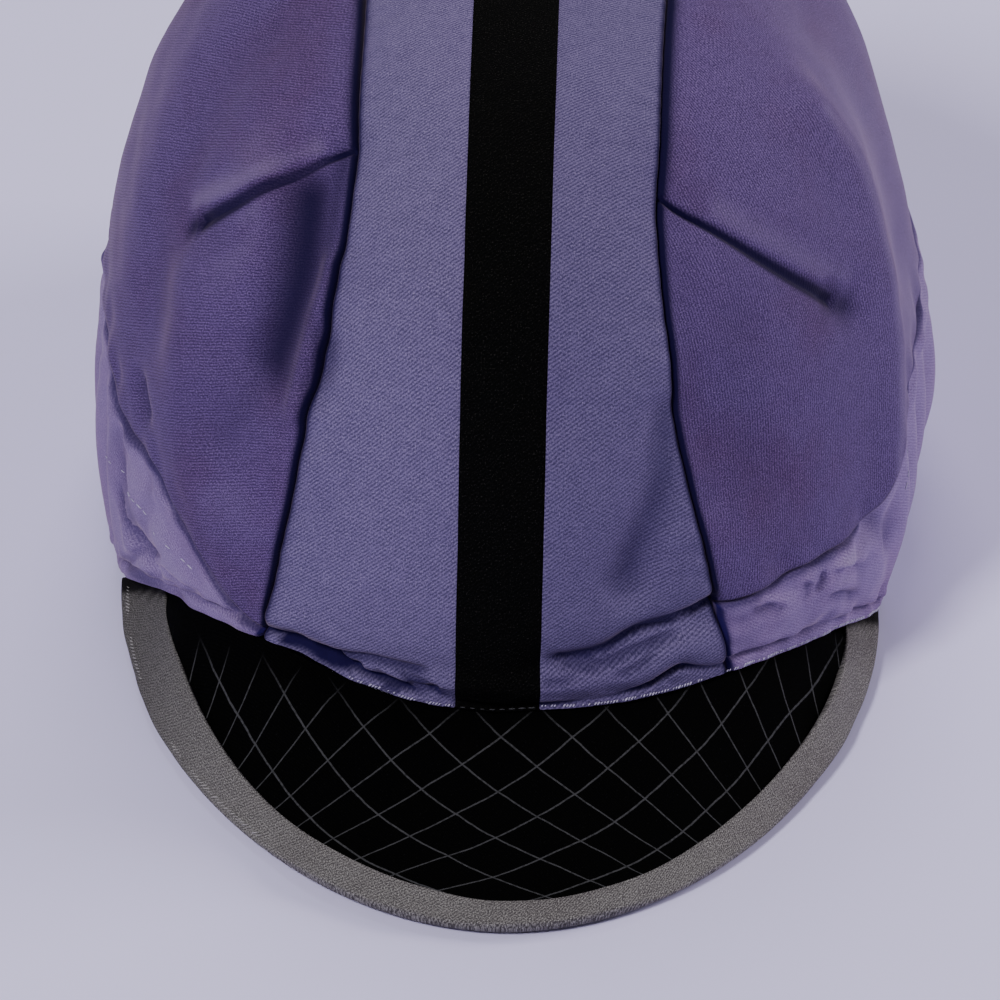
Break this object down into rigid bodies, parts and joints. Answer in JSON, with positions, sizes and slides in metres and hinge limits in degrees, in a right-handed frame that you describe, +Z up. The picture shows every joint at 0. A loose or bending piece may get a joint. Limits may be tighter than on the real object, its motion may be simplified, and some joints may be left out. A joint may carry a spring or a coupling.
{
  "type": "cycling cap",
  "caption": "Soft cycling cap: filled-out crown with a dark stripe, darted side panels, gathered elastic band and a short peak that slopes to the table.",
  "frame": {"origin": "on the table under the middle of the whole cap's box", "axes": "+Z up, the peak points towards -Y, +X to the right of someone who looks at the peak"},
  "size_m": [0.1691, 0.2454, 0.136],
  "materials": {
    "centre_cloth": "fine cotton twill, grey-lavender",
    "stripe_cloth": "fine cotton twill, near black",
    "side_cloth": "fine cotton twill, dusk violet",
    "band_cloth": "gathered cotton over elastic, pale mauve",
    "peak_cloth": "black twill with thin grey diamond lines",
    "binding_cloth": "grey heather twill binding"
  },
  "bodies": {
    "root": {"centre_panel_left": "centre_cloth", "centre_panel_right": "centre_cloth", "centre_stripe": "stripe_cloth", "side_panel_left": "side_cloth", "side_panel_right": "side_cloth", "side_band": "band_cloth", "peak": "peak_cloth", "peak_binding": "binding_cloth"}
  },
  "joints": []
}
